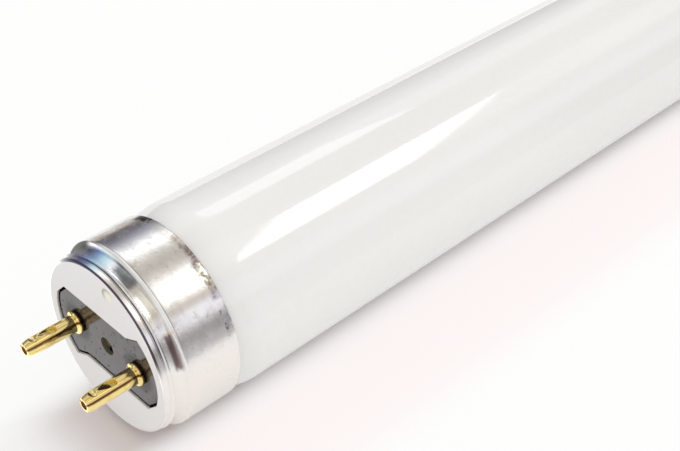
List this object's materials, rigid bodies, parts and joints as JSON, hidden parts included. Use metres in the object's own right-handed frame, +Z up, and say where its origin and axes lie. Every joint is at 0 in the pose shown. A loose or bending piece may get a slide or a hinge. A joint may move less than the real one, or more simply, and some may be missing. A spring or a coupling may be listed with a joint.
{
  "type": "uv lamp",
  "caption": "Straight tubular UV lamp: white-coated sealed glass tube with an aluminium bi-pin cap on each end, for push-and-turn lamp holders.",
  "frame": {"origin": "middle of the lamp, on its axis, halfway between the tips of its pins", "axes": "+X along the lamp's axis to the far cap, Y along the row of pins of each cap, +Z up with the lamp lying level"},
  "size_m": [0.4516, 0.026, 0.026],
  "materials": {
    "coated_glass": "glossy, white coated",
    "cap_aluminium": "satin, lightly scuffed",
    "insulator_plastic": "semi-gloss moulded",
    "capping_cement": "matte, grainy",
    "pin_brass": "polished",
    "lead_wire": "dull"
  },
  "bodies": {
    "root": {"glass_tube": "coated_glass", "near_cap_shell": "cap_aluminium", "near_insulator_plate": "insulator_plastic", "near_cement_ring": "capping_cement", "near_contact_pin_a": "pin_brass", "near_contact_pin_b": "pin_brass", "near_lead_wire_a": "lead_wire", "near_lead_wire_b": "lead_wire", "far_cap_shell": "cap_aluminium", "far_insulator_plate": "insulator_plastic", "far_cement_ring": "capping_cement", "far_contact_pin_a": "pin_brass", "far_contact_pin_b": "pin_brass", "far_lead_wire_a": "lead_wire", "far_lead_wire_b": "lead_wire"}
  },
  "joints": []
}
